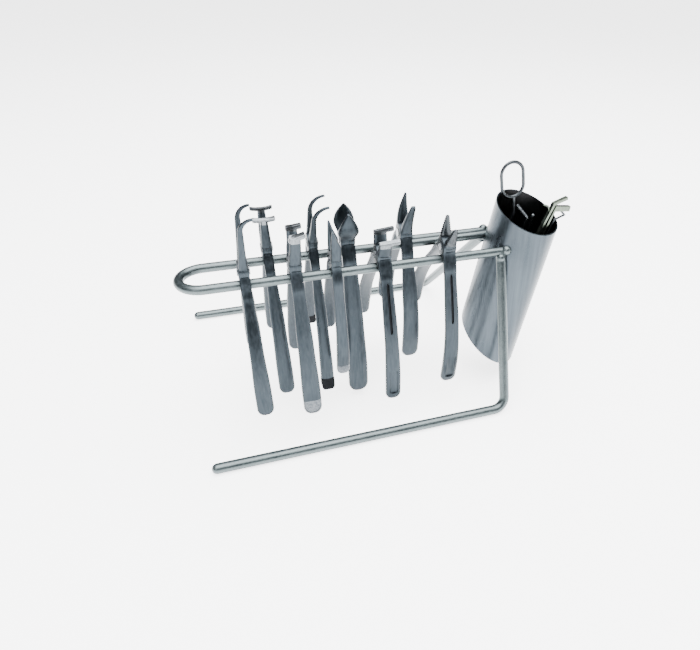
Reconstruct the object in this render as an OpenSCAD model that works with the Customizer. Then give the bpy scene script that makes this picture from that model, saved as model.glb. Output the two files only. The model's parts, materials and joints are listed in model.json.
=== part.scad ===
// Bent-rod stand holding nine dental forceps and pliers, with a slanted cup of hand instruments.
// X runs along the rails towards the cup, Y runs back, Z is up, and the feet stand on Z = 0.

/* [Stand] */
// Diameter of the steel rod that the stand is bent from
rod_d = 6; // [5.6:0.1:6.2]
// Height of the rails' centre lines above the table
rail_height = 107.7; // [107:0.1:112]
// Distance between the two rails' centre lines
rail_gap = 28.6; // [28.2:0.1:30]
// Straight length of the rails, from the legs to the round closed end
rail_length = 191.5; // [186:0.5:210]
// How far the front foot stands in front of the rails' middle
front_foot_y = 55; // [50:1:60]
// How far the rear foot stands behind the rails' middle
rear_foot_y = 134.8; // [125:0.1:140]
// Distance from the legs to the end of the front foot
front_foot_length = 206; // [200:1:215]
// Distance from the legs to the end of the rear foot
rear_foot_length = 214.5; // [208:0.5:220]
// Bend radius between each leg and its foot, to the rod's centre line
bend_r = 9; // [8:0.5:14]
// Length of the second rod that stiffens the rear rail next to the cup
brace_length = 54; // [40:1:54]

/* [Cup] */
// Outside diameter of the cup
cup_d = 46.5; // [45:0.5:48]
// Thickness of the cup's sheet steel
cup_wall = 1; // [0.8:0.1:1.5]
// Length of the cup along its own axis
cup_length = 98.8; // [96:0.2:104]
// Angle that the cup leans away from the rails
cup_lean = 12; // [11:0.5:13]

/* [Legs] */
// Diameter of the thicker rod that the legs and feet are bent from
leg_d = 6.8; // [6.2:0.1:7.4]

/* [Forceps] */
// Radius of the round lap joint of every forceps
joint_r = 6.3; // [6:0.1:6.5]
// Radius of the pivot pins
pin_r = 1.6; // [1.4:0.1:1.8]
// Radial clearance of the half that turns on the pin
pin_clearance = 0.05; // [0.03:0.01:0.08]
// Gap between the two beaks when a forceps is squeezed shut
beak_gap = 0.3; // [0.2:0.1:0.6]
// Thickness of the handles next to the joint
handle_t = 4; // [3.6:0.1:4.2]
// Thickness of the handles at their ends
handle_end_t = 5.2; // [4.6:0.1:5.4]

/* [Hidden] */

$fn = 48;
rod_r = rod_d / 2;
leg_r = leg_d / 2;
cup_r = cup_d / 2;
// The middle of the whole object's box, measured from the legs; it becomes X = 0 and Y = 0.
middle_x = -81.49;
middle_y = (rear_foot_y - front_foot_y) / 2;

// Each forceps: kind, place along the rails, row (-1 front rail, 1 rear rail), how far its front
// and rear halves hang open from shut, how far its shut handles flare, how far they bow out, the
// handles' and beaks' lengths from the pivot, and its width at the joint, neck, middle and end.
FORCEPS = [
  ["hooked",   -168,   -1, 9,   17,   7, 3, 90.5,  38.5, 6.4, 6.2, 8.4, 10.3],
  ["tee",      -151.6,  1, 7.5, 20,   4.5, 3, 100.9, 25.2, 6.4, 6.4, 9, 10.4],
  ["step",     -138.2, -1, 6,   17.5, 5, 3, 99.8,  23.5, 7.6, 7.8, 10, 11.8],
  ["curved",   -122.8,  1, 5,   22,   4, 3, 106.8, 29,   6.4, 6, 7.6, 9],
  ["pointed",  -113.6, -1, 0,   24,   0, 4, 83.2,  25,   6.4, 6.4, 7.4, 8.6],
  ["broad",    -100,    1, 4.5, 26,   2, 4, 115,   23,   9.6, 9.6, 12, 14],
  ["angled",   -83.3,  -1, 10,  34.5, 0, 5, 101.4, 15,   9, 7.8, 9, 10.3],
  ["flat",     -60,     1, 6,   29,   0, 6, 93.8,  26,   8.6, 8.2, 11, 12],
  ["serrated", -39.7,  -1, 4.5, 36,   0, 7, 101.2, 20,   8.8, 8.4, 9.6, 10.8]
];
HOOKED = 0;
TEE = 1;
STEP = 2;
CURVED = 3;
POINTED = 4;
BROAD = 5;
ANGLED = 6;
FLAT = 7;
SERRATED = 8;

function place_x(i) = FORCEPS[i][1];
function row(i) = FORCEPS[i][2];
function front_tilt(i) = FORCEPS[i][3];
function rear_tilt(i) = FORCEPS[i][4];
function flare(i) = FORCEPS[i][5];
function bow(i) = FORCEPS[i][6];
function handle_len(i) = FORCEPS[i][7];
function beak_len(i) = FORCEPS[i][8];
function joint_w(i) = FORCEPS[i][9];
function neck_w(i) = FORCEPS[i][10];
function mid_w(i) = FORCEPS[i][11];
function end_w(i) = FORCEPS[i][12];

// The pivots ride this far above the rail's centre line, so that the joint rests on the rail.
rest_gap = 0.2;
pivot_rise = rod_r + joint_r + rest_gap;
rail_play = 0.3;
// Half the space between the shut handles at the rail, so that they can shut around it.
function shank_gap(i) =
  max(4.2, (rod_r + rail_play + pivot_rise * sin(front_tilt(i))) / cos(front_tilt(i)));

// ---------------------------------------------------------------- stand

module to_part() { translate([-middle_x, -middle_y, 0]) children(); }

module rod_x(x0, x1, r = rod_r) { translate([x0, 0, 0]) rotate([0, 90, 0]) cylinder(r = r, h = x1 - x0); }

module cup_frame() {
  base = [4, 0, 31.3];
  translate(base) rotate([0, cup_lean, 0]) children();
}

module cup_solid() { cup_frame() translate([0, 0, -60]) cylinder(r = cup_r, h = 240, $fn = 96); }

module top_rail() {
  color("lightsteelblue") to_part() translate([0, 0, rail_height]) difference() {
    union() {
      for (side = [-1, 1]) translate([0, side * rail_gap / 2, 0]) rod_x(-rail_length, 8);
      translate([-rail_length, 0, 0]) rotate([0, 0, 90]) rotate_extrude(angle = 180)
        translate([rail_gap / 2, 0]) circle(r = rod_r);
    }
    translate([0, 0, -rail_height]) cup_solid();
  }
}

// A bend is this much thicker than the rod and a rounded end this much thinner, and a straight
// rod runs this far into its bend.
swell = 0.03;
bite = 0.3;

// One leg and its foot, bent from a single rod. The leg leans along the rails by corner_x.
module leg(side, foot_y, foot_length, corner_x) {
  run = foot_y - rail_gap / 2;
  rise = rail_height - leg_r;
  leg_length = norm([run, rise]);
  turn = atan2(leg_length, -corner_x);
  reach = bend_r * tan(turn / 2);
  splay = atan2(run, rise);
  translate([0, side * foot_y, leg_r + swell]) rotate([side * splay, 0, 0]) {
    translate([-foot_length + leg_r, 0, 0]) sphere(r = leg_r - swell);
    rod_x(-foot_length + leg_r, corner_x - reach + bite, leg_r);
    translate([corner_x - reach, 0, bend_r]) rotate([90, 0, 0]) rotate([0, 0, -90])
      rotate_extrude(angle = turn) translate([bend_r, 0]) circle(r = leg_r + swell);
    translate([corner_x, 0, 0]) rotate([0, 90 - turn, 0]) translate([0, 0, reach - bite])
      cylinder(r = leg_r, h = norm([leg_length, corner_x]) - reach + bite);
  }
}

// The space that the rails take up, which the legs and welds are fitted around.
fit_gap = 0.02;
module rail_core() {
  for (side = [-1, 1]) translate([-20, side * rail_gap / 2, rail_height]) rotate([0, 90, 0])
    cylinder(r = rod_r + fit_gap, h = 50);
}

front_corner_x = -4.6;
rear_corner_x = -0.5;

module front_leg() {
  color("lightsteelblue") to_part() difference() {
    leg(-1, front_foot_y, front_foot_length, front_corner_x);
    rail_core();
    cup_solid();
  }
}

module rear_leg() {
  color("lightsteelblue") to_part() difference() {
    leg(1, rear_foot_y, rear_foot_length, rear_corner_x);
    rail_core();
    cup_solid();
  }
}

brace_y = rail_gap / 2 + rod_d + 2 * swell;

module rail_brace() {
  color("lightsteelblue") to_part() difference() {
    translate([0, brace_y, rail_height]) {
      rod_x(-brace_length + rod_r, 12);
      translate([-brace_length + rod_r, 0, 0]) sphere(r = rod_r - swell);
    }
    cup_solid();
    leg(1, rear_foot_y, rear_foot_length, rear_corner_x);
  }
}

module leg_welds() {
  bead_r = 3.1;
  color("gainsboro") to_part() for (side = [-1, 1]) difference() {
    translate([-0.8, side * (rail_gap / 2 + 2.6), rail_height - 3.6]) sphere(r = bead_r);
    rail_core();
    leg(-1, front_foot_y, front_foot_length, front_corner_x);
    leg(1, rear_foot_y, rear_foot_length, rear_corner_x);
    translate([0, brace_y, rail_height]) rod_x(-brace_length, 12);
    cup_solid();
  }
}

// ---------------------------------------------------------------- cup

module mouth_cut() {
  cup_frame() translate([0, 0, cup_length]) rotate([0, -cup_lean, 0]) rotate([18.3, 14, 0])
    translate([0, 0, 50]) cube([160, 160, 100], center = true);
}

module below_floor(raise) {
  cup_frame() rotate([0, -cup_lean, 0]) rotate([25.8, 28.4, 0])
    translate([0, 0, raise - 50]) cube([160, 160, 100], center = true);
}

module cup_tube() {
  color("lightslategray") to_part() difference() {
    cup_solid();
    cup_frame() translate([0, 0, -70]) cylinder(r = cup_r - cup_wall, h = 260, $fn = 96);
    mouth_cut();
    below_floor(0);
  }
}

module cup_floor() {
  color("slategray") to_part() difference() {
    intersection() {
      cup_frame() translate([0, 0, -60]) cylinder(r = cup_r - cup_wall, h = 120, $fn = 96);
      below_floor(cup_wall);
    }
    below_floor(0);
  }
}

// Weld beads where the rails' ends and the brace meet the cup.
module cup_welds() {
  bead_r = 3.4;
  color("gainsboro") to_part() for (bead = [[3.4, -rail_gap / 2 - 1.6, 1], [2.4, brace_y + 1, 1]])
    difference() {
      translate([bead.x, bead.y, rail_height + bead.z]) sphere(r = bead_r);
      rail_core();
      leg(-1, front_foot_y, front_foot_length, front_corner_x);
      leg(1, rear_foot_y, rear_foot_length, rear_corner_x);
      translate([0, brace_y, rail_height]) rod_x(-brace_length, 12);
      cup_solid();
    }
}

// ---------------------------------------------------------------- forceps outlines

function mix(a, b, t) = a + (b - a) * t;
function ease(a, b, t) = mix(a, b, (1 - cos(180 * max(0, min(1, t)))) / 2);

end_gap = 3.6;
neck_s = 16;
// Where the handles and the beaks leave the round joint, as angles from level.
handle_root = 20;
beak_root = 30;
root_s = joint_r * sin(handle_root);

// The handle's inner face at depth s below the pivot, measured from the shut forceps' middle.
function inner(i, s) =
  let (below = max(0, s - pivot_rise), u = below / (handle_len(i) - pivot_rise))
  mix(shank_gap(i), end_gap, u) + bow(i) * sin(180 * pow(u, 1.3)) + below * tan(flare(i));
function thickness(i, s) = mix(handle_t, handle_end_t, s / handle_len(i));
function outer(i, s) =
  s < neck_s
  ? ease(joint_r * cos(handle_root), inner(i, neck_s) + thickness(i, neck_s),
      (s - root_s) / (neck_s - root_s))
  : inner(i, s) + thickness(i, s);

// Half the handle's width at depth s.
function half_w(i, s) =
  let (L = handle_len(i), r = end_w(i) / 2, to_mid = 0.5 * L, to_end = 0.85 * L)
  s < neck_s ? ease(joint_w(i) / 2, neck_w(i) / 2, (s - 8) / (neck_s - 8))
  : s < to_mid ? ease(neck_w(i) / 2, mid_w(i) / 2, (s - neck_s) / (to_mid - neck_s))
  : s < to_end ? ease(mid_w(i) / 2, r, (s - to_mid) / (to_end - to_mid))
  : s > L - r ? sqrt(max(0, r * r - pow(s - L + r, 2))) : r;

// Side outline, in [Y, Z]: handle to the front and down, beak to the back and up.
module handle_side(i) {
  L = handle_len(i);
  tip = handle_end_t / 2;
  last = L - tip;
  middle = inner(i, last) + tip;
  gap = shank_gap(i);
  polygon(concat(
    [[0, -1]],
    [for (k = [0:8]) let (s = mix(root_s, neck_s, k / 9)) [-outer(i, s), -s]],
    [for (k = [1:11]) let (s = mix(neck_s, last, k / 11)) [-outer(i, s), -s]],
    [for (a = [20:20:160]) [-middle - tip * cos(a), -last - tip * sin(a)]],
    [for (k = [11:-1:0]) let (s = mix(pivot_rise, last, k / 11)) [-inner(i, s), -s]],
    [for (a = [15:14:85]) [-gap * cos(a), -pivot_rise + gap * sin(a)]]
  ));
}

// The shut beaks stand this far apart between their tips, in the hollow of the bow.
BEAK_BOW = [1.2, 0.6, 0.5, 1, 0.2, 2.6, 0.2, 0.3, 0.2];
BEAK_TIP = [1.5, 3, 4.2, 1.5, 1.5, 1.6, 3.2, 1.6, 1.4];

module beak_side(i) {
  L = beak_len(i);
  base = joint_r * sin(beak_root);
  root_t = joint_r * cos(beak_root) + 0.3;
  steps = 9;
  z_of = [for (k = [0:steps]) mix(base, L + 2, k / steps)];
  in_of = [for (z = z_of) beak_gap / 2 + BEAK_BOW[i] * sin(180 * max(0, min(1, (z - 5) / (L - 5))))];
  out_of = [for (k = [0:steps]) in_of[k] + mix(root_t, BEAK_TIP[i], min(1, pow(k / steps, 0.8)))];
  polygon(concat(
    [[beak_gap / 2, 0]],
    [for (k = [0:steps]) [in_of[k], z_of[k]]],
    [for (k = [steps:-1:0]) [out_of[k], z_of[k]]]
  ));
}

module handle_front(i) {
  L = handle_len(i);
  r = end_w(i) / 2;
  depths = concat([4, 8, 12], [for (k = [0:12]) mix(neck_s, L - r, k / 12)],
    [for (a = [15:15:75]) L - r + r * sin(a)], [L]);
  polygon(concat(
    [for (s = depths) [half_w(i, s), -s]],
    [for (k = [len(depths) - 2:-1:0]) [-half_w(i, depths[k]), -depths[k]]]
  ));
}

// A strip of varying half-width h along the points p.
function strip(p, h) =
  let (n = len(p) - 1,
    side = [for (k = [0:n]) let (d = p[min(n, k + 1)] - p[max(0, k - 1)]) [d.y, -d.x] / norm(d)])
  concat([for (k = [0:n]) p[k] + side[k] * h[k]], [for (k = [n:-1:0]) p[k] - side[k] * h[k]]);

// A beak that rises to z1 and then sweeps over to one side on an arc of radius r.
function hook(i, z1, lean, r, sweep) =
  let (rise = [for (k = [0:4]) [lean * k / 4, mix(2, z1, k / 4)]],
    arc = [for (a = [15:15:sweep]) [lean + r - r * cos(a), z1 + r * sin(a)]],
    n = len(rise) + len(arc) - 1)
  strip(concat(rise, arc), [for (k = [0:n]) mix(joint_w(i) / 2, 0.7, pow(k / n, 0.55))]);

// Front outline of one beak in [X, Z].
module beak_front(i, rear) {
  L = beak_len(i);
  w = joint_w(i) / 2;
  bar = 2.2;
  if (i == HOOKED) polygon(hook(i, L - 8.5, 1.5, 7.5, 90));
  if (i == CURVED) polygon(hook(i, L - 10, 1, 10, 90));
  if (i == TEE) polygon([
    [-w, 2], [w, 2], [2.9, 14], [2.3, L - 3.2], [4.6, L - 2.6], [6.6, L - 1.6], [6.8, L + 0.8],
    [4.6, L - 0.2], [0, L - 0.6], [-4.6, L - 0.2], [-6.8, L + 0.8], [-6.6, L - 1.6],
    [-4.6, L - 2.6], [-2.3, L - 3.2], [-2.9, 14]]);
  if (i == STEP) polygon([[-w, 2], [w, 2], [4, 14], [4.4, L - bar], [9, L - bar + 0.6], [9, L + 1.4],
    [-2.2, L], [-2.4, 14]]);
  if (i == POINTED) polygon([[-w, 2], [w, 2], [3.2, 13], [-1.3, L], [-2.7, L], [-w, 12]]);
  if (i == BROAD) polygon(concat(
    [[-w, 2], [w, 2], [w, 3.4], [5.8, 6.4]],
    [for (a = [0:15:75]) [6.8 * cos(a) * (1 - 0.1 * sin(a)), 10 + (L - 10) * sin(a)]], [[0, L]],
    [for (a = [75:-15:0]) [-6.8 * cos(a) * (1 - 0.1 * sin(a)), 10 + (L - 10) * sin(a)]],
    [[-5.8, 6.4], [-w, 3.4]]));
  if (i == ANGLED) polygon([[-w, 2], [w, 2], [4.2, 9], [4.2, L - bar], [8.6, L - bar + 0.8], [8.8, L + 1],
    [4, L], [-4.2, L - 0.6], [-4.2, 9]]);
  if (i == FLAT) polygon(rear
    ? [[-w, 2], [w, 2], [3.6, 13], [3.6, L], [0.2, L], [-2.8, 13]]
    : [[-w, 2], [w, 2], [3.4, 14], [2.6, L], [1, L], [-2.6, 16], [-3.8, 10]]);
  if (i == SERRATED) polygon([[-w, 2], [w, 2], [3.6, 11], [1.6, L], [-0.8, L], [-3.4, 11]]);
}

// ---------------------------------------------------------------- forceps parts

module along_x(w) { rotate([90, 0, 90]) linear_extrude(w, center = true) children(); }
module along_y(w) { rotate([90, 0, 0]) linear_extrude(w, center = true) children(); }

lap_gap = 0.05;
shoulder_gap = 0.3;

// A half in the shut forceps' own frame: handle to the front, beak to the back, lap on -X.
module half_shape(i, rear) {
  w = joint_w(i);
  bore_r = rear ? pin_r + pin_clearance : pin_r;
  difference() {
    union() {
      intersection() {
        along_x(40) handle_side(i);
        along_y(60) handle_front(i);
      }
      intersection() {
        along_x(40) beak_side(i);
        along_y(60) mirror([rear ? 1 : 0, 0, 0]) beak_front(i, rear);
      }
      rotate([0, 90, 0]) cylinder(r = joint_r, h = w, center = true);
    }
    translate([-lap_gap, 0, 0]) rotate([0, 90, 0]) cylinder(r = joint_r + shoulder_gap, h = w);
    rotate([0, 90, 0]) cylinder(r = bore_r, h = 2 * w, center = true);
  }
}

module at_pivot(i, tilt) {
  to_part() translate([place_x(i), row(i) * rail_gap / 2, rail_height + pivot_rise])
    rotate([tilt, 0, 0]) children();
}

// Places a half: rear = true is the one with the rear handle and the front beak.
module placed_half(i, rear) {
  at_pivot(i, rear ? rear_tilt(i) : -front_tilt(i)) rotate([0, 0, rear ? 180 : 0]) children();
}

tip_length = 10.5;
module tip_zone(i) { translate([0, 0, -handle_len(i) - 30 + tip_length]) cube([60, 60, 60], center = true); }

slot_w = 1.6;
// A long narrow slot sunk into the handle's outer face.
module face_slot(i) {
  top = neck_s + 2;
  slot_length = 26;
  depth = 1.4;
  span = [outer(i, top + slot_length) - outer(i, top), slot_length];
  translate([0, -outer(i, top), -top]) rotate([-atan2(span.x, span.y), 0, 0])
    translate([0, 0, -norm(span) / 2]) cube([slot_w, 2 * depth, norm(span)], center = true);
}

module forceps_half(i, rear, tint) {
  color(tint) placed_half(i, rear) difference() {
    half_shape(i, rear);
    if (i == CURVED) tip_zone(i);
    if (i == ANGLED || i == SERRATED) face_slot(i);
  }
}

module handle_tip(i, rear) {
  color("black") placed_half(i, rear) intersection() {
    half_shape(i, rear);
    tip_zone(i);
  }
}

// The rivet: pressed into the front half, running in the rear half, with a low head at each end.
module pivot_pin(i) {
  w = joint_w(i);
  head_r = 2.8;
  head_t = 0.6;
  run_gap = 0.08;
  color("silver") at_pivot(i, 0) {
    rotate([0, 90, 0]) translate([0, 0, -w / 2]) cylinder(r = pin_r, h = w + run_gap);
    rotate([0, 90, 0]) translate([0, 0, -w / 2 - head_t]) cylinder(r = head_r, h = head_t);
    rotate([0, 90, 0]) translate([0, 0, w / 2 + run_gap]) cylinder(r = head_r, h = head_t);
  }
}

// ---------------------------------------------------------------- instruments in the cup

module in_cup() { to_part() cup_frame() children(); }

// A round rod between two points of the cup's frame.
module rod(a, b, r) {
  d = b - a;
  translate(a) rotate([0, 0, atan2(d.y, d.x)]) rotate([0, atan2(norm([d.x, d.y]), d.z), 0])
    cylinder(r = r, h = norm(d));
}

ring_at = [-12.8, 10, 116.5];
// The ring leans back against the cup's own lean.
ring_lean = -20.9;
ring_rod_r = 1.15;
ring_r = 8.1;
ring_straight = 8.4;
shank_top = [-4.6, 10, 94];

module ring_frame() { in_cup() translate(ring_at) rotate([0, ring_lean, 0]) children(); }

module ring_handle() {
  color("gray") ring_frame() {
    for (end = [0, 180]) rotate([0, end, 0]) translate([0, 0, ring_straight / 2]) rotate([90, 0, 0])
      rotate_extrude(angle = 180) translate([ring_r, 0]) circle(r = ring_rod_r);
    for (side = [-1, 1]) translate([side * ring_r, 0, -ring_straight / 2])
      cylinder(r = ring_rod_r, h = ring_straight);
  }
}

module ring_shank() {
  bottom = 8.8;
  taper = 30;
  shank_r = 1.5;
  foot = ring_at + (ring_r + ring_straight / 2) * [-sin(ring_lean), 0, -cos(ring_lean)];
  color("gray") difference() {
    in_cup() {
      translate([shank_top.x, shank_top.y, bottom + taper])
        cylinder(r = shank_r, h = shank_top.z - bottom - taper);
      translate([shank_top.x, shank_top.y, bottom]) cylinder(r1 = 0.5, r2 = shank_r, h = taper);
      translate(shank_top) sphere(r = shank_r + swell);
      rod(shank_top, foot, shank_r - swell);
    }
    ring_frame() translate([0, 0, -ring_straight / 2]) rotate([90, 0, 0])
      rotate_extrude() translate([ring_r, 0]) circle(r = ring_rod_r + fit_gap);
    ring_frame() translate([0, 0, 0]) cube([2 * ring_r, 6, 2 * ring_r + 4], center = true);
  }
}

tweezers_lean = 6.1;
tweezers_w = 3.2;
tweezers_at = [0.9, -9.3, 9];
tweezers_foot_z = -10.8;
module tweezers_frame() { in_cup() translate(tweezers_at) rotate([0, tweezers_lean, 0]) children(); }

// The two arms are joined at the bottom, cross below the tips and carry angled tips.
module tweezers_upper_arm() {
  hook_r = 0.55;
  hook = [[-0.2, 0, 95], [-2.9, 0, 98.5], [-7.2, 0, 98.7]];
  color("darkseagreen") tweezers_frame() {
    along_y(tweezers_w) polygon([
      [-1.4, tweezers_foot_z], [-1.4, 22], [-2.8, 55], [-2, 80], [-0.5, 97], [-0.4, 101.4], [8.2, 108],
      [9.1, 106.3], [1.2, 100.4], [0.8, 97], [-0.8, 80], [-1.6, 55], [0, 22], [0, tweezers_foot_z]]);
    rod(hook[0], hook[1], hook_r);
    translate(hook[1]) sphere(r = hook_r + swell);
    rod(hook[1], hook[2], hook_r);
  }
}

module tweezers_lower_arm() {
  color("darkseagreen") tweezers_frame() along_y(tweezers_w) polygon([
    [0, tweezers_foot_z], [0, 22], [1.6, 55], [1.2, 80], [2.1, 96.4], [2.4, 100], [13.6, 102.4],
    [14.2, 99], [3.4, 96.4], [2.4, 80], [2.8, 55], [1.4, 22], [1.4, tweezers_foot_z]]);
}

WIRE = [[5.5, -6.1, -2.2], [19.2, -6.1, 97.2], [26, -6.1, 101.6], [20.6, -6.1, 105.2]];
module wire_probe() {
  wire_r = 0.75;
  color("dimgray") in_cup() {
    for (k = [0:len(WIRE) - 2]) rod(WIRE[k], WIRE[k + 1], wire_r);
    for (p = WIRE) translate(p) sphere(r = wire_r + 0.05, $fn = 24);
  }
}

module burnisher() {
  bend = [1, 0, 94.6];
  color("whitesmoke") in_cup() {
    rod([2.7, 3.4, 3.3], bend, 1.2);
    translate(bend) sphere(r = 1.3);
    rod(bend, [-5.6, 6.4, 100.6], 1.4);
  }
}

module explorer() {
  color("darkgray") in_cup() {
    rod([10.2, 9.9, 4.3], [5, -0.5, 97], 1.1);
    translate([5, -0.5, 97]) sphere(r = 1.05);
  }
}

// ---------------------------------------------------------------- nodes

STEEL = "slategray";
top_rail();
front_leg();
rear_leg();
rail_brace();
leg_welds();
cup_tube();
cup_floor();
cup_welds();
forceps_half(HOOKED, false, STEEL);  // hooked_front_half
forceps_half(HOOKED, true, STEEL);  // hooked_rear_half
pivot_pin(HOOKED);  // hooked_pivot
forceps_half(TEE, false, STEEL);  // tee_front_half
forceps_half(TEE, true, STEEL);  // tee_rear_half
pivot_pin(TEE);  // tee_pivot
forceps_half(STEP, false, STEEL);  // step_front_half
forceps_half(STEP, true, STEEL);  // step_rear_half
pivot_pin(STEP);  // step_pivot
forceps_half(CURVED, false, STEEL);  // curved_front_half
forceps_half(CURVED, true, STEEL);  // curved_rear_half
pivot_pin(CURVED);  // curved_pivot
handle_tip(CURVED, false);  // curved_front_tip
handle_tip(CURVED, true);  // curved_rear_tip
forceps_half(POINTED, false, STEEL);  // pointed_front_half
forceps_half(POINTED, true, STEEL);  // pointed_rear_half
pivot_pin(POINTED);  // pointed_pivot
forceps_half(BROAD, false, STEEL);  // broad_front_half
forceps_half(BROAD, true, STEEL);  // broad_rear_half
pivot_pin(BROAD);  // broad_pivot
forceps_half(ANGLED, false, STEEL);  // angled_front_half
forceps_half(ANGLED, true, STEEL);  // angled_rear_half
pivot_pin(ANGLED);  // angled_pivot
forceps_half(FLAT, false, STEEL);  // flat_front_half
forceps_half(FLAT, true, STEEL);  // flat_rear_half
pivot_pin(FLAT);  // flat_pivot
forceps_half(SERRATED, false, STEEL);  // serrated_front_half
forceps_half(SERRATED, true, STEEL);  // serrated_rear_half
pivot_pin(SERRATED);  // serrated_pivot
ring_handle();
ring_shank();
tweezers_upper_arm();
tweezers_lower_arm();
wire_probe();
burnisher();
explorer();
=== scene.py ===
"""Bent-rod dental stand with hanging forceps and a slanted cup of hand instruments."""

import json
import math

import bmesh
import bpy
from mathutils import Matrix, Vector

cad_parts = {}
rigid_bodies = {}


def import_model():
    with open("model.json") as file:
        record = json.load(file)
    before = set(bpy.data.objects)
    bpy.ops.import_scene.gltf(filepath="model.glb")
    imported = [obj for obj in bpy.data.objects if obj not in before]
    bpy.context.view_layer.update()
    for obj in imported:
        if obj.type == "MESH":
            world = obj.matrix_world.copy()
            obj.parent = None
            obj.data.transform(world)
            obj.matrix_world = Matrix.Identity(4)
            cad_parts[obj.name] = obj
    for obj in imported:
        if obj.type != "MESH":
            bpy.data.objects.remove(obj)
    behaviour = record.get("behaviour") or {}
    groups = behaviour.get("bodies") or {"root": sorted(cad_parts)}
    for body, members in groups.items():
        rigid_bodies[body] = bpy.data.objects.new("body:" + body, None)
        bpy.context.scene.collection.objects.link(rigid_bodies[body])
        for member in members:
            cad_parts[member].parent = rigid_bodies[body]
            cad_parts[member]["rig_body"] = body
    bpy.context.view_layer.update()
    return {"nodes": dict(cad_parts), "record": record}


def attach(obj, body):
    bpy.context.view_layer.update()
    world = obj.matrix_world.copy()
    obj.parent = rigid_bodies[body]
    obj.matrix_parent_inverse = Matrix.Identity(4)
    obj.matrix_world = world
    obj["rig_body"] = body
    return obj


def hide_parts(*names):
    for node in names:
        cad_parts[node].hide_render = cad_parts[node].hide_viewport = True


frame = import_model()

MM = 0.001
# The stand's own numbers, in millimetres: X from the legs' tops, Y from midway between the
# rails and Z from the floor. ORIGIN is where the part's own origin lies in them.
ORIGIN = Vector((-81.49, 39.9, 0))
ROD_R = 3.0
RAIL_Z = 107.7
RAIL_GAP = 28.6
RAIL_PLAY = 0.3
JOINT_R = 6.3
LAP_PLAY = 0.05
BORE_R = 1.65
# How far the pivots stand above the rails' centres.
RISE = 9.5
# The shank joins the handle this far below the pivot.
NECK = 16
END_GAP = 3.6
BEAK_GAP = 0.3
# The beak's root stays inside the round joint.
ROOT_R = 5.831
# The black tips cover this much of the curved forceps' handles.
TIP_LENGTH = 10.3
# Just outside the cup's inner face.
CUP_BORE_R = 22.29
CUP_LEAN = math.radians(12)
CUP_BASE = Vector((4, 0, 31.3))

# Name, place along the rails, row, front and rear hang, flare, bow, handle and beak length, and
# the widths at the joint, neck, middle and end.
FORCEPS = [
    ("hooked", -168, -1, 9, 17, 7, 3, 90.5, 38.5, 6.4, 6.2, 8.4, 10.3),
    ("tee", -151.6, 1, 7.5, 20, 4.5, 3, 100.9, 25.2, 6.4, 6.4, 9, 10.4),
    ("step", -138.2, -1, 6, 17.5, 5, 3, 99.8, 23.5, 7.6, 7.8, 10, 11.8),
    ("curved", -122.8, 1, 5, 22, 4, 3, 106.8, 29, 6.4, 6, 7.6, 9),
    ("pointed", -113.6, -1, 0, 24, 0, 4, 83.2, 25, 6.4, 6.4, 7.4, 8.6),
    ("broad", -100, 1, 4.5, 26, 2, 4, 115, 23, 9.6, 9.6, 12, 14),
    ("angled", -83.3, -1, 10, 34.5, 0, 5, 101.4, 15, 9, 7.8, 9, 10.3),
    ("flat", -60, 1, 6, 29, 0, 6, 93.8, 26, 8.6, 8.2, 11, 12),
    ("serrated", -39.7, -1, 4.5, 36, 0, 7, 101.2, 20, 8.8, 8.4, 9.6, 10.8),
]
# Where handles and beaks leave the round joint, from level.
HANDLE_ROOT = math.radians(20)
BEAK_ROOT = math.radians(30)
GROOVED = ("angled", "serrated")
# From and to these depths below the pivot.
GROOVE = (17, 51)
BARRED = ("tee", "step", "angled")
# Length of the brighter worn end of the front handle.
WORN_END = {"step": 12, "pointed": 9}


# ---------------------------------------------------------------- camera, floor and light

def to_part(p):
    return (Vector(p) - ORIGIN) * MM


def aim_camera():
    """Places the camera, as solved from the rails, feet and cup."""
    azimuth, elevation, roll = map(math.radians, (-19.45, 33.59, 1.67))
    target, distance = to_part((-51.93, 0, 43.74)), 421.87 * MM
    back = Vector((math.sin(azimuth) * math.cos(elevation),
                   -math.cos(azimuth) * math.cos(elevation), math.sin(elevation)))
    level = Vector((math.cos(azimuth), math.sin(azimuth), 0))
    up = back.cross(level)
    right = math.cos(roll) * level + math.sin(roll) * up
    up = back.cross(right)
    data = bpy.data.cameras.new("camera")
    data.lens = 0.8201429 * data.sensor_width
    data.shift_x = -0.0990
    data.shift_y = 0.0079
    data.clip_start = 0.01
    data.clip_end = 20
    camera = bpy.data.objects.new("camera", data)
    turn = Matrix((right, up, back)).transposed().to_4x4()
    camera.matrix_world = Matrix.Translation(target + back * distance) @ turn
    bpy.context.scene.collection.objects.link(camera)
    bpy.context.scene.camera = camera


def add_light(name, at, aim, size, power):
    data = bpy.data.lights.new(name, "AREA")
    data.shape = "RECTANGLE"
    data.size, data.size_y = size
    data.energy = power
    lamp = bpy.data.objects.new(name, data)
    lamp.location = at
    lamp.rotation_euler = (Vector(aim) - Vector(at)).to_track_quat("-Z", "Y").to_euler()
    bpy.context.scene.collection.objects.link(lamp)


def new_object(name, mesh):
    obj = bpy.data.objects.new(name, mesh)
    bpy.context.scene.collection.objects.link(obj)
    return obj


def add_floor():
    mesh = bpy.data.meshes.new("floor")
    reach = 6
    mesh.from_pydata([(-reach, -reach, 0), (reach, -reach, 0), (reach, reach, 0), (-reach, reach, 0)],
                     [], [(0, 1, 2, 3)])
    floor = new_object("floor", mesh)
    mat, _, _, bsdf = new_material("floor_paper", (0.96, 0.965, 0.97), 0.9)
    bsdf.inputs["Emission Color"].default_value = (1, 1, 1, 1)
    bsdf.inputs["Emission Strength"].default_value = 3.4
    floor.data.materials.append(mat)


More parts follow.
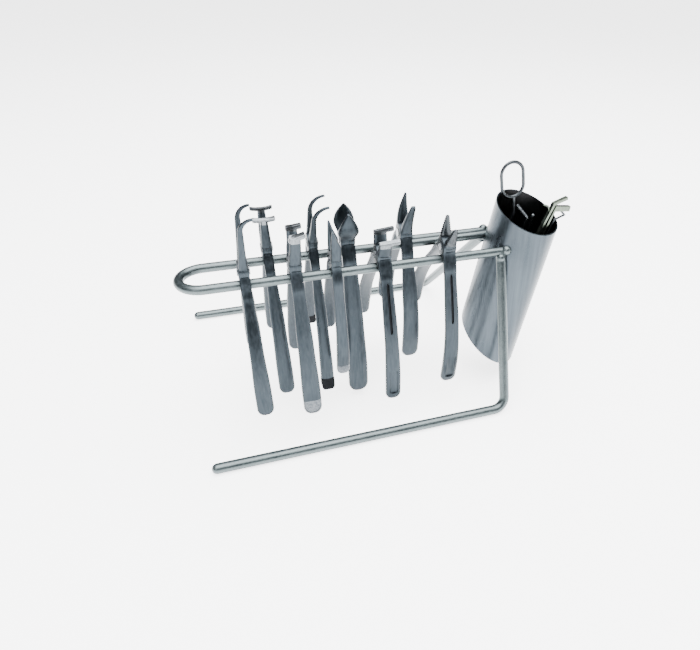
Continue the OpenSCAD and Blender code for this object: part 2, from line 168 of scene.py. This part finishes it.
def add_studio():
    """A sky that is dark near the horizon, for contrast in the steel, but looks pale itself."""
    world = bpy.data.worlds.new("studio")
    world.use_nodes = True
    nodes, links = world.node_tree.nodes, world.node_tree.links
    place = nodes.new("ShaderNodeTexCoord")
    split = nodes.new("ShaderNodeSeparateXYZ")
    links.new(place.outputs["Generated"], split.inputs[0])
    ramp = nodes.new("ShaderNodeValToRGB")
    horizon, zenith = ramp.color_ramp.elements
    horizon.position, horizon.color = 0.0, (0.16, 0.18, 0.2, 1)
    zenith.position, zenith.color = 0.95, (1, 1, 1, 1)
    ramp.color_ramp.elements.new(0.45).color = (0.3, 0.33, 0.37, 1)
    links.new(split.outputs["Z"], ramp.inputs["Fac"])
    seen = nodes.new("ShaderNodeLightPath")
    blend = nodes.new("ShaderNodeMix")
    blend.data_type = "RGBA"
    links.new(seen.outputs["Is Camera Ray"], blend.inputs["Factor"])
    links.new(ramp.outputs["Color"], blend.inputs["A"])
    blend.inputs["B"].default_value = (2.6, 2.6, 2.6, 1)
    links.new(blend.outputs["Result"], nodes["Background"].inputs[0])
    nodes["Background"].inputs[1].default_value = 0.8
    bpy.context.scene.world = world
    add_light("overhead", (0.1, -0.1, 1.3), (0, 0, 0), (1.8, 1.4), 80)
    add_light("key", (-0.7, -0.9, 0.9), (0, 0, 0.05), (0.3, 0.9), 6)
    add_light("side", (1.0, -0.5, 0.5), (0, 0, 0.08), (0.25, 0.9), 4)


# ---------------------------------------------------------------- materials

def new_material(name, colour, roughness, metallic=0.0):
    mat = bpy.data.materials.new(name)
    mat.use_nodes = True
    nodes, links = mat.node_tree.nodes, mat.node_tree.links
    bsdf = nodes["Principled BSDF"]
    bsdf.inputs["Base Color"].default_value = (*colour, 1)
    bsdf.inputs["Roughness"].default_value = roughness
    bsdf.inputs["Metallic"].default_value = metallic
    return mat, nodes, links, bsdf


def steel(name, dark, light, rough, grain=1.0, stretch=(1, 1, 1), bump=0.02, smudge=28):
    """Worked steel: drawn-out grinding lines, faint smudges in colour and gloss, and fine bump."""
    mat, nodes, links, bsdf = new_material(name, light, rough, 1.0)
    place = nodes.new("ShaderNodeTexCoord")
    mapping = nodes.new("ShaderNodeMapping")
    mapping.inputs["Scale"].default_value = stretch
    links.new(place.outputs["Object"], mapping.inputs["Vector"])
    lines = nodes.new("ShaderNodeTexNoise")
    lines.inputs["Scale"].default_value = 900 * grain
    lines.inputs["Detail"].default_value = 4
    links.new(mapping.outputs["Vector"], lines.inputs["Vector"])
    spots = nodes.new("ShaderNodeTexNoise")
    spots.inputs["Scale"].default_value = smudge
    spots.inputs["Detail"].default_value = 5
    links.new(place.outputs["Object"], spots.inputs["Vector"])
    both = nodes.new("ShaderNodeMix")
    both.data_type = "FLOAT"
    both.inputs["Factor"].default_value = 0.45
    links.new(lines.outputs["Fac"], both.inputs["A"])
    links.new(spots.outputs["Fac"], both.inputs["B"])
    ramp = nodes.new("ShaderNodeValToRGB")
    low, high = ramp.color_ramp.elements
    low.position, low.color = 0.32, (*dark, 1)
    high.position, high.color = 0.68, (*light, 1)
    links.new(both.outputs["Result"], ramp.inputs["Fac"])
    links.new(ramp.outputs["Color"], bsdf.inputs["Base Color"])
    gloss = nodes.new("ShaderNodeMapRange")
    gloss.inputs["From Min"].default_value = 0.3
    gloss.inputs["From Max"].default_value = 0.7
    gloss.inputs["To Min"].default_value = rough * 0.75
    gloss.inputs["To Max"].default_value = rough * 1.3
    links.new(both.outputs["Result"], gloss.inputs["Value"])
    links.new(gloss.outputs["Result"], bsdf.inputs["Roughness"])
    relief = nodes.new("ShaderNodeBump")
    relief.inputs["Strength"].default_value = bump
    relief.inputs["Distance"].default_value = 0.0002
    links.new(lines.outputs["Fac"], relief.inputs["Height"])
    links.new(relief.outputs["Normal"], bsdf.inputs["Normal"])
    return mat


def paint_bore_shade(mat, shade):
    """Darkens whatever lies within the cup's bore with painted shade, standing in for the shadow
    inside the cup.
    """
    nodes, links = mat.node_tree.nodes, mat.node_tree.links
    bsdf = nodes["Principled BSDF"]
    base = bsdf.inputs["Base Color"].links[0].from_socket
    place = nodes.new("ShaderNodeTexCoord")
    centre = nodes.new("ShaderNodeVectorMath")
    centre.operation = "SUBTRACT"
    centre.inputs[1].default_value = to_part(CUP_BASE)
    links.new(place.outputs["Object"], centre.inputs[0])
    turn = nodes.new("ShaderNodeVectorRotate")
    turn.rotation_type = "Y_AXIS"
    turn.inputs["Angle"].default_value = -CUP_LEAN
    links.new(centre.outputs["Vector"], turn.inputs["Vector"])
    flat = nodes.new("ShaderNodeVectorMath")
    flat.operation = "MULTIPLY"
    flat.inputs[1].default_value = (1, 1, 0)
    links.new(turn.outputs["Vector"], flat.inputs[0])
    radius = nodes.new("ShaderNodeVectorMath")
    radius.operation = "LENGTH"
    links.new(flat.outputs["Vector"], radius.inputs[0])
    inside = nodes.new("ShaderNodeMath")
    inside.operation = "LESS_THAN"
    inside.inputs[1].default_value = CUP_BORE_R * MM
    links.new(radius.outputs["Value"], inside.inputs[0])
    blend = nodes.new("ShaderNodeMix")
    blend.data_type = "RGBA"
    links.new(inside.outputs["Value"], blend.inputs["Factor"])
    links.new(base, blend.inputs["A"])
    blend.inputs["B"].default_value = (shade, shade, shade * 1.05, 1)
    links.new(blend.outputs["Result"], bsdf.inputs["Base Color"])


ROD = steel("rod_steel", (0.07, 0.085, 0.088), (0.13, 0.155, 0.16), 0.36, 1.2, (1, 1, 1), 0.01, 60)
CUP = steel("cup_steel", (0.036, 0.045, 0.053), (0.08, 0.096, 0.11), 0.3, 0.35, (1, 1, 0.03),
            0.008, 22)
FORGED = steel("forged_steel", (0.022, 0.028, 0.033), (0.046, 0.056, 0.065), 0.38, 0.8,
               (1, 1, 0.12), 0.05)
POLISHED = steel("polished_steel", (0.09, 0.1, 0.11), (0.19, 0.205, 0.215), 0.22, 1, (1, 1, 0.4))
DULL = steel("dull_steel", (0.025, 0.03, 0.034), (0.08, 0.086, 0.092), 0.3, 1, (1, 1, 0.3))
GREENISH = steel("tweezers_steel", (0.07, 0.085, 0.068), (0.16, 0.185, 0.15), 0.32, 1, (1, 1, 0.3))
WORN = steel("worn_steel", (0.045, 0.052, 0.06), (0.13, 0.142, 0.152), 0.24, 1, (1, 1, 1), 0.1,
             300)
# Near-black painted shade for the faces inside the handle grooves.
SLOT_SHADE = steel("slot_shade", (0.012, 0.013, 0.015), (0.03, 0.032, 0.035), 0.55, 1)
# Plastic has the same kind of grain but no metal's shine.
BLACK = steel("black_plastic", (0.002, 0.0025, 0.0035), (0.008, 0.009, 0.011), 0.6, 1, (1, 1, 1),
              0.15, 60)
BLACK_SHADER = BLACK.node_tree.nodes["Principled BSDF"]
BLACK_SHADER.inputs["Metallic"].default_value = 0.0
BLACK_SHADER.inputs["Specular IOR Level"].default_value = 0.05
# The cup's inside gets near-black painted shade.
paint_bore_shade(CUP, 0.02)


# ---------------------------------------------------------------- mesh tools

def lerp(a, b, t):
    return a + (b - a) * t


def ease(a, b, t):
    return lerp(a, b, (1 - math.cos(math.pi * max(0, min(1, t)))) / 2)


def through(points, t):
    """A smooth curve through (key, value, ...) rows, read at key t."""
    keys = [p[0] for p in points]
    t = max(keys[0], min(keys[-1], t))
    k = max(i for i in range(len(keys) - 1) if keys[i] <= t)
    u = (t - keys[k]) / (keys[k + 1] - keys[k])
    out = []
    for c in range(1, len(points[0])):
        p = [points[max(0, min(len(points) - 1, k + d))][c] for d in (-1, 0, 1, 2)]
        h = keys[k + 1] - keys[k]

        def slope(i):
            lo, hi = max(0, i - 1), min(len(points) - 1, i + 1)
            return (points[hi][c] - points[lo][c]) / (keys[hi] - keys[lo]) * h
        a, b = slope(k), slope(k + 1)
        out.append((2 * u**3 - 3 * u**2 + 1) * p[1] + (u**3 - 2 * u**2 + u) * a
                   + (-2 * u**3 + 3 * u**2) * p[2] + (u**3 - u**2) * b)
    return out if len(out) > 1 else out[0]


def loft(rings):
    """A closed bmesh through rings of equal length."""
    bm = bmesh.new()
    rows = [[bm.verts.new(p) for p in ring] for ring in rings]
    n = len(rows[0])
    for a, b in zip(rows, rows[1:]):
        for k in range(n):
            bm.faces.new((a[k], a[(k + 1) % n], b[(k + 1) % n], b[k]))
    bm.faces.new(rows[0][::-1])
    bm.faces.new(rows[-1])
    bmesh.ops.recalc_face_normals(bm, faces=bm.faces)
    return bm


def rounded(width, depth, power=4.0, count=28):
    """Superellipse outline in two axes."""
    out = []
    for k in range(count):
        a = 2 * math.pi * (k + 0.5) / count
        c, s = math.cos(a), math.sin(a)
        out.append((width * math.copysign(abs(c) ** (2 / power), c),
                    depth * math.copysign(abs(s) ** (2 / power), s)))
    return out


def mesh_from(bm, name):
    mesh = bpy.data.meshes.new(name)
    bm.to_mesh(mesh)
    bm.free()
    return mesh


def boolean(base, shape, operation):
    """Joins the bmesh to base, or cuts it out of base, and drops it."""
    other = new_object("other", mesh_from(shape, "other"))
    mod = base.modifiers.new("cut", "BOOLEAN")
    mod.operation = operation
    mod.solver = "EXACT"
    mod.object = other
    bpy.context.view_layer.update()
    shaped = bpy.data.meshes.new_from_object(base.evaluated_get(bpy.context.evaluated_depsgraph_get()))
    base.modifiers.clear()
    old = base.data
    base.data = shaped
    bpy.data.meshes.remove(old)
    bpy.data.objects.remove(other)


def smooth(obj):
    obj.data.polygons.foreach_set("use_smooth", [True] * len(obj.data.polygons))
    obj.data.set_sharp_from_angle(angle=math.radians(35))
    obj.data.update()


def cylinder_x(radius, x0, x1, bevel=0.0, count=64):
    """A cylinder along X, with softened edges where a bevel is given, as a bmesh."""
    profile = [(x0, radius), (x1, radius)]
    if bevel:
        corner = [(0, radius - bevel), (bevel * 0.3, radius - bevel * 0.3), (bevel, radius)]
        profile = [(x0 + x, r) for x, r in corner] + [(x1 - x, r) for x, r in reversed(corner)]
    turns = [2 * math.pi * k / count for k in range(count)]
    return loft([[(x, r * math.cos(a), r * math.sin(a)) for a in turns] for x, r in profile])


# ---------------------------------------------------------------- forceps

class Tool:
    """One forceps' outlines, in millimetres, in the shut forceps' own frame."""

    def __init__(self, row):
        (self.name, self.x, self.row, self.front, self.rear, self.flare, self.bow, self.length,
         self.beak, self.joint_w, self.neck_w, self.mid_w, self.end_w) = row
        tilt = math.radians(self.front)
        self.gap = max(4.2, (ROD_R + RAIL_PLAY + RISE * math.sin(tilt)) / math.cos(tilt))

    def inner(self, s):
        below = max(0, s - RISE)
        u = min(1, below / (self.length - RISE))
        return (lerp(self.gap, END_GAP, u) + self.bow * math.sin(math.pi * u ** 1.3)
                + below * math.tan(math.radians(self.flare)))

    def thick(self, s):
        return lerp(4, 5.2, s / self.length)

    def outer(self, s):
        start = JOINT_R * math.sin(HANDLE_ROOT)
        if s < NECK:
            return ease(JOINT_R * math.cos(HANDLE_ROOT), self.inner(NECK) + self.thick(NECK),
                        (s - start) / (NECK - start))
        return self.inner(s) + self.thick(s)

    def half_w(self, s):
        mid, end, r = 0.5 * self.length, 0.85 * self.length, self.end_w / 2
        if s < NECK:
            return ease(self.joint_w / 2, self.neck_w / 2, 2 * s / NECK - 1)
        if s < mid:
            return ease(self.neck_w / 2, self.mid_w / 2, (s - NECK) / (mid - NECK))
        if s < end:
            return ease(self.mid_w / 2, r, (s - mid) / (end - mid))
        if s > self.length - r:
            return math.sqrt(max(0.02, r * r - (s - self.length + r) ** 2))
        return r

    def place(self, rear):
        turn = Matrix.Rotation(math.radians(self.rear if rear else -self.front), 4, "X")
        if rear:
            turn = turn @ Matrix.Rotation(math.pi, 4, "Z")
        at = to_part((self.x, self.row * RAIL_GAP / 2, RAIL_Z + RISE))
        return Matrix.Translation(at) @ Matrix.Scale(MM, 4) @ turn


def handle_depths(tool):
    """Depths of the handle's sections: joint and neck, blade, and round end."""
    blade, r = tool.length - tool.end_w / 2, tool.end_w / 2
    return ([2.6 + 0.9 * k for k in range(16)]
            + [lerp(16.8, blade, k / 44) for k in range(1, 45)]
            + [tool.length - r * (1 - math.sin(math.pi / 2 * k / 9)) for k in range(1, 10)])


def handle_shape(tool):
    """The shank and handle: rounded-rectangle sections from the joint down to the round end."""
    rounding = 2.6
    rings = [[(x, -2.6 + y, -1.2) for x, y in rounded(tool.joint_w / 2 - 0.05, 2.5, 6)]]
    for s in handle_depths(tool):
        outer, inner = tool.outer(s), tool.inner(s)
        if s < RISE:
            # The crotch is an arch around the rail.
            above = RISE - s
            inner = max(0.3, math.sqrt(max(0, tool.gap ** 2 - above ** 2)))
        half_t = (outer - inner) / 2
        end = (s - tool.length + rounding) / rounding
        if end > 0:
            half_t *= math.sqrt(max(0.04, 1 - end * end))
        rings.append([(x, y - (outer + inner) / 2, -s) for x, y in
                      rounded(tool.half_w(s), half_t, 3.2 if s > 18 else 4.5)])
    if tool.name == "curved":
        # The black tips carry on from here.
        rings = [ring for ring in rings if -ring[0][2] < tool.length - TIP_LENGTH]
    return loft(rings)


# How far each beak bows out halfway up, and how thick its tip is.
BOW = {"hooked": 1.2, "tee": 0.6, "step": 0.5, "curved": 1.0, "pointed": 0.2, "broad": 2.6,
       "angled": 0.2, "flat": 0.3, "serrated": 0.2}
TIP = {"hooked": 1.5, "tee": 3.0, "step": 4.2, "curved": 1.5, "pointed": 1.5, "broad": 1.6,
       "angled": 3.2, "flat": 1.6, "serrated": 1.4}


def beak_depth(tool, z):
    """Inner and outer faces of a beak at height z."""
    root = 5
    u = max(0.0, min(1.0, (z - root) / (tool.beak - root)))
    inner = BEAK_GAP / 2 + BOW[tool.name] * math.sin(math.pi * u)
    return inner, inner + lerp(JOINT_R * math.cos(BEAK_ROOT), TIP[tool.name], u ** 0.8)


def hook_line(tool):
    """A straight stem and a quarter circle towards +X, thinning to a point."""
    r, lean = (7.5, 1.5) if tool.name == "hooked" else (10, 1)
    bend = tool.beak - r - (1 if tool.name == "hooked" else 0)
    path = [(lean * k / 8, lerp(3, bend, k / 8), 0) for k in range(9)]
    for k in range(1, 11):
        a = math.radians(9 * k)
        path.append((lean + r - r * math.cos(a), bend + r * math.sin(a), a))
    last = len(path) - 1
    return [(x, z, lerp(tool.joint_w / 2, 0.7, (k / last) ** 0.55), a)
            for k, (x, z, a) in enumerate(path)]


def beak_line(tool, rear):
    """Rows of centre x, height z, half-width and lean of the section, from the joint to the tip."""
    w, top, name = tool.joint_w / 2, tool.beak, tool.name
    if name in ("hooked", "curved"):
        return hook_line(tool)
    # Height, centre x and half-width where the outline turns.
    shapes = {
        "tee": [(3, 0, w), (9, 0, 3.1), (14, 0, 2.8), (top - 2, 0, 2.3), (top - 0.6, 0, 2.2)],
        "step": [(3, 0, w), (10, 0.4, 3.6), (14, 0.8, 3.3), (top - 0.2, 1, 3.2)],
        "pointed": [(3, 0, w), (9, 0, w), (13, 0, 3.1), (19, -1.2, 1.7), (top - 1, -1.9, 0.8),
                    (top, -2, 0.4)],
        "broad": [(3, 0, w), (6, 0, 5.8), (10, 0, 6.9), (14, 0, 6.2), (18, 0, 4.4), (21, 0, 2.2),
                  (top, 0, 0.5)],
        "angled": [(3, 0, w), (9, 0, 4.2), (top - 0.4, 0, 4.2)],
        "flat": [(3, 0, w), (10, 0, 3.8), (16, 0.3, 2.9), (22, 1.2, 1.6), (top - 1, 1.8, 0.9),
                 (top, 1.8, 0.6)],
        "serrated": [(3, 0, w), (7, 0, 3.6), (11, 0.1, 2.8), (16, 0.3, 1.8), (top - 1, 0.4, 1.2),
                     (top, 0.4, 0.8)],
    }
    if name == "flat" and rear:
        shapes["flat"] = [(3, 0, w), (13, 0.4, 3.2), (20, 1.2, 2.4), (top - 1, 1.9, 1.7),
                          (top, 1.9, 1.4)]
    keys = shapes[name]
    rows = []
    for k in range(25):
        z = lerp(keys[0][0], keys[-1][0], k / 24)
        x, half = through(keys, z)
        if name == "serrated" and z > 7:
            # Every second section stands out as a tooth.
            half += 0.4 if k % 2 else -0.25
        rows.append((x, z, max(0.3, half), 0))
    return rows


def beak_shape(tool, rear):
    rings = []
    side = -1 if rear else 1
    for x, z, half, lean in beak_line(tool, rear):
        inner, outer = beak_depth(tool, z)
        if z < 3.2:
            outer = min(outer, math.sqrt(ROOT_R ** 2 - z * z))
        mid, half_t = (inner + outer) / 2, (outer - inner) / 2
        rings.append([(side * (x + p * math.cos(lean)), mid + q, z - p * math.sin(lean))
                      for p, q in rounded(half, half_t, 3.4)])
    return loft(rings)


def bar(points, half_y, half_z, y):
    """A rounded bar along X through (x, z) points."""
    rings = []
    for k, (x, z) in enumerate(points):
        shrink = 0.75 if k in (0, len(points) - 1) else 1
        rings.append([(x, y + p, z + q) for p, q in rounded(half_y * shrink, half_z * shrink, 4.5)])
    return loft(rings)


def crossbar(tool, rear):
    """The crossbar of a tee, step or angled beak."""
    top, side = tool.beak, -1 if rear else 1
    inner, outer = beak_depth(tool, top)
    y, half_y = (inner + outer) / 2, (outer - inner) / 2
    if tool.name == "tee":
        half = 6.8
        points = [(x, top - 1.2 + 0.9 * (abs(x) / half) ** 2.5) for x in
                  (-half, -6.5, -5, -3, 0, 3, 5, 6.5, half)]
        return bar(points, half_y, 1.1, y)
    if tool.name == "step":
        slope = 0.36 if rear else 0.1
        points = [(side * x, top - 1.4 + slope * (x - 1)) for x in (-2.6, -2.3, 0, 3, 5, 6.4, 6.7)]
    else:
        points = [(side * x, top - 1.2 + 0.1 * x) for x in (-4.2, -3.9, 0, 4, 8, 8.5, 8.8)]
    return bar(points, half_y, 1.5, y)


def groove(tool, s0, s1, half_w, depth):
    """A long round-ended groove along the handle's outer face, as a cutter."""
    rings = []
    for k in range(25):
        u = k / 24
        s = lerp(s0, s1, u)
        end = math.sqrt(max(0.04, 1 - max(0, abs(u - 0.5) * 2 - 0.9) ** 2 * 100))
        rings.append([(x, y - tool.outer(s), -s) for x, y in rounded(half_w * end, depth, 3, 20)])
    return loft(rings)


def finish_at(tool, rear, centre):
    """The look of a forceps half at a point of its own frame."""
    s, top = -centre.z, centre.z
    # Faces inside the long groove get painted shade.
    if tool.name in GROOVED and GROOVE[0] - 2 < s < GROOVE[1] + 3 and abs(centre.x) < 0.95:
        if tool.inner(s) + 0.4 < -centre.y < tool.outer(s) - 0.25:
            return SLOT_SHADE
    if tool.name == "serrated" and top > 6.5:
        return DULL
    if tool.name in BARRED and top > tool.beak - 3.2:
        return POLISHED if rear else DULL
    if not rear and tool.name in WORN_END and s > tool.length - WORN_END[tool.name]:
        return WORN
    return FORGED


def paint(piece, tool, rear):
    """Gives each face its look: forged, or bright, dark or worn in places, with painted shade inside
    the grooves.
    """
    looks = [FORGED, SLOT_SHADE, POLISHED, DULL, WORN]
    piece.data.materials.clear()
    for mat in looks:
        piece.data.materials.append(mat)
    for face in piece.data.polygons:
        face.material_index = looks.index(finish_at(tool, rear, face.center))


def forceps_half(tool, rear):
    """One half: handle, beak and round joint, lapped over the other half and bored for the pin."""
    name = f"{tool.name}_{'rear' if rear else 'front'}_half"
    w = tool.joint_w / 2
    piece = new_object(f"{name}_forged", mesh_from(handle_shape(tool), name))
    boolean(piece, beak_shape(tool, rear), "UNION")
    if tool.name in BARRED:
        boolean(piece, crossbar(tool, rear), "UNION")
    boolean(piece, cylinder_x(JOINT_R, -w, w, 0.5), "UNION")
    boolean(piece, cylinder_x(JOINT_R + 0.3, -LAP_PLAY, w + 6), "DIFFERENCE")
    boolean(piece, cylinder_x(BORE_R, -w - 2, w + 2, 0, 32), "DIFFERENCE")
    if tool.name in GROOVED:
        boolean(piece, groove(tool, *GROOVE, 0.85, 1.5), "DIFFERENCE")
        hollow = groove(tool, tool.length - 24, tool.length - 5, 2.9, 1.1)
        boolean(piece, hollow, "DIFFERENCE")
    paint(piece, tool, rear)
    piece.data.transform(tool.place(rear))
    smooth(piece)
    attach(piece, frame["nodes"][name]["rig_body"])
    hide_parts(name)


# ---------------------------------------------------------------- building

def dress_carried_nodes():
    """Gives every node that keeps its CAD shape the look of its material slot."""
    looks = {"rod_chrome": ROD, "weld_metal": ROD, "cup_steel": CUP, "forceps_steel": FORGED,
             "pin_steel": POLISHED, "black_tip": BLACK, "dark_steel": DULL,
             "tweezers_steel": GREENISH}
    for part in frame["record"]["subparts"]:
        node = frame["nodes"][part["node"]]
        node.data.materials.clear()
        node.data.materials.append(looks[part["material_slot"]])


aim_camera()
add_floor()
add_studio()
dress_carried_nodes()

for row in FORCEPS:
    for is_rear in (False, True):
        forceps_half(Tool(row), is_rear)
